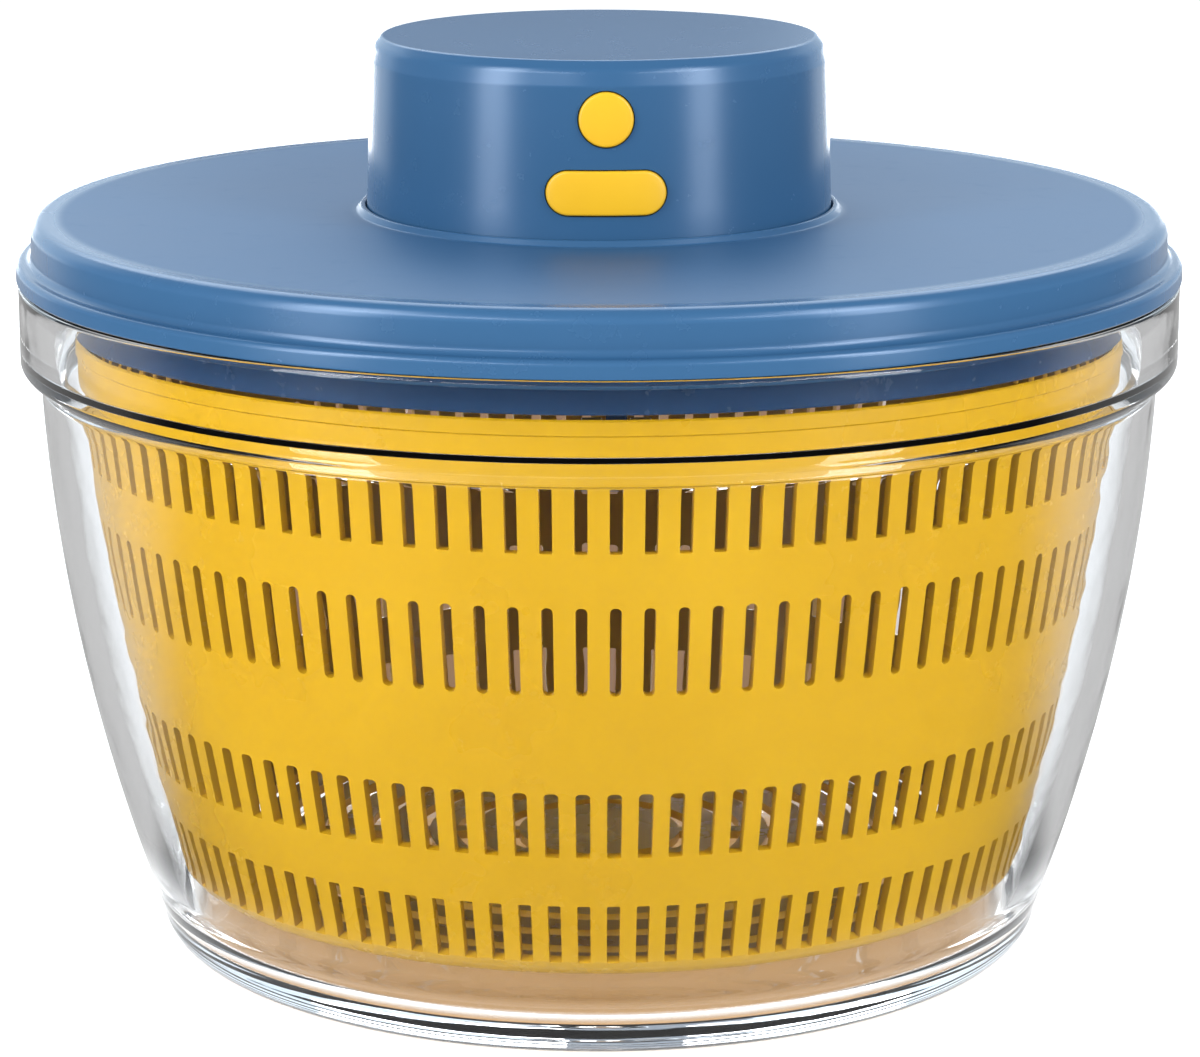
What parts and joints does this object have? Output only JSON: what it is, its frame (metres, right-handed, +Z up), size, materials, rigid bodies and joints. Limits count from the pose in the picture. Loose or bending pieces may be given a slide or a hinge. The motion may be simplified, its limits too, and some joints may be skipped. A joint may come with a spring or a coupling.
{
  "type": "electric salad spinner",
  "caption": "Round electric salad spinner: clear bowl, slotted yellow basket on a pivot, and a blue lid whose hub holds a motor, gears, battery and buttons that turn the basket.",
  "frame": {"origin": "centre of the bowl's flat base, on the surface it stands on", "axes": "+Z up along the basket's spin axis; the buttons face -Y, the charging socket +Y; +X to the right seen from the buttons"},
  "size_m": [0.25, 0.25, 0.1955],
  "materials": {
    "clear_plastic": "glossy, clear moulded plastic",
    "yellow_plastic": "satin gloss, opaque",
    "button_yellow": "satin",
    "blue_plastic": "satin gloss",
    "dark_blue_plastic": "gloss",
    "white_acetal": "plain moulded",
    "grey_plastic": "fine texture",
    "motor_steel": "plated",
    "shaft_steel": "ground",
    "zinc_screw": "zinc plated",
    "sintered_bronze": "sintered, oiled",
    "copper": "enamelled winding",
    "seal_rubber": "matte",
    "board_green": "solder mask",
    "switch_black": "moulded",
    "cell_wrap": "heat-shrink wrap",
    "blue_silicone": "matte silicone"
  },
  "bodies": {
    "bowl": {"bowl": "clear_plastic"},
    "basket_pivot": {"pivot_bush": "white_acetal"},
    "basket": {"basket": "yellow_plastic"},
    "lid": {"lid_shell": "blue_plastic", "motor_housing": "blue_plastic", "gearbox_tray": "grey_plastic", "motor_plate": "grey_plastic", "upper_bearing": "sintered_bronze", "lower_bearing": "sintered_bronze", "shaft_seal": "seal_rubber", "idler_pin": "shaft_steel", "motor_can": "motor_steel", "motor_end_cap": "switch_black", "battery_holder": "grey_plastic", "lower_battery_cell": "cell_wrap", "upper_battery_cell": "cell_wrap", "circuit_board": "board_green", "power_switch": "switch_black", "speed_switch": "switch_black", "charging_socket": "shaft_steel", "gearbox_screw_1": "zinc_screw", "gearbox_screw_2": "zinc_screw", "gearbox_screw_3": "zinc_screw", "housing_screw_1": "zinc_screw", "housing_screw_2": "zinc_screw", "housing_screw_3": "zinc_screw", "motor_screw_1": "zinc_screw", "motor_screw_2": "zinc_screw", "board_screw_1": "zinc_screw", "board_screw_2": "zinc_screw"},
    "drive": {"drive_disc": "dark_blue_plastic", "output_shaft": "shaft_steel", "output_gear": "white_acetal", "disc_screw": "zinc_screw"},
    "idler": {"idler_gear": "white_acetal"},
    "motor_rotor": {"motor_shaft": "shaft_steel", "motor_armature": "copper", "motor_pinion": "shaft_steel"},
    "power_button": {"power_button": "button_yellow"},
    "speed_button": {"speed_button": "button_yellow"},
    "socket_plug": {"socket_plug": "blue_silicone"}
  },
  "joints": [
    {"name": "lid_lift", "type": "slide", "parent": "bowl", "child": "lid", "axis": [0, 0, 1], "range_m": [0, 0.3]},
    {"name": "drive_spin", "type": "hinge", "parent": "lid", "child": "drive", "pos_m": [0, 0, 0.145], "axis": [0, 0, 1], "continuous": true},
    {"name": "idler_spin", "type": "hinge", "parent": "lid", "child": "idler", "pos_m": [-0.0208, 0, 0.15], "axis": [0, 0, 1], "continuous": true},
    {"name": "motor_spin", "type": "hinge", "parent": "lid", "child": "motor_rotor", "pos_m": [-0.00846, -0.01471, 0.16], "axis": [0, 0, 1], "continuous": true},
    {"name": "basket_lift", "type": "slide", "parent": "bowl", "child": "basket_pivot", "axis": [0, 0, 1], "range_m": [0, 0.165]},
    {"name": "basket_spin", "type": "hinge", "parent": "basket_pivot", "child": "basket", "pos_m": [0, 0, 0.0164], "axis": [0, 0, 1], "continuous": true},
    {"name": "power_press", "type": "slide", "parent": "lid", "child": "power_button", "axis": [0, 1, 0], "range_m": [0, 0.001], "stiffness_N_per_m": 800},
    {"name": "speed_press", "type": "slide", "parent": "lid", "child": "speed_button", "axis": [0, 1, 0], "range_m": [0, 0.001], "stiffness_N_per_m": 800},
    {"name": "plug_pull", "type": "slide", "parent": "lid", "child": "socket_plug", "axis": [0, 1, 0], "range_m": [0, 0.012]}
  ],
  "couplings": [
    {"joint": "idler_spin", "follows": "drive_spin", "ratio": -3.3333},
    {"joint": "motor_spin", "follows": "drive_spin", "ratio": 12.667},
    {"joint": "basket_spin", "follows": "drive_spin", "ratio": 1},
    {"joint": "basket_lift", "follows": "lid_lift", "ratio": 0.55}
  ]
}
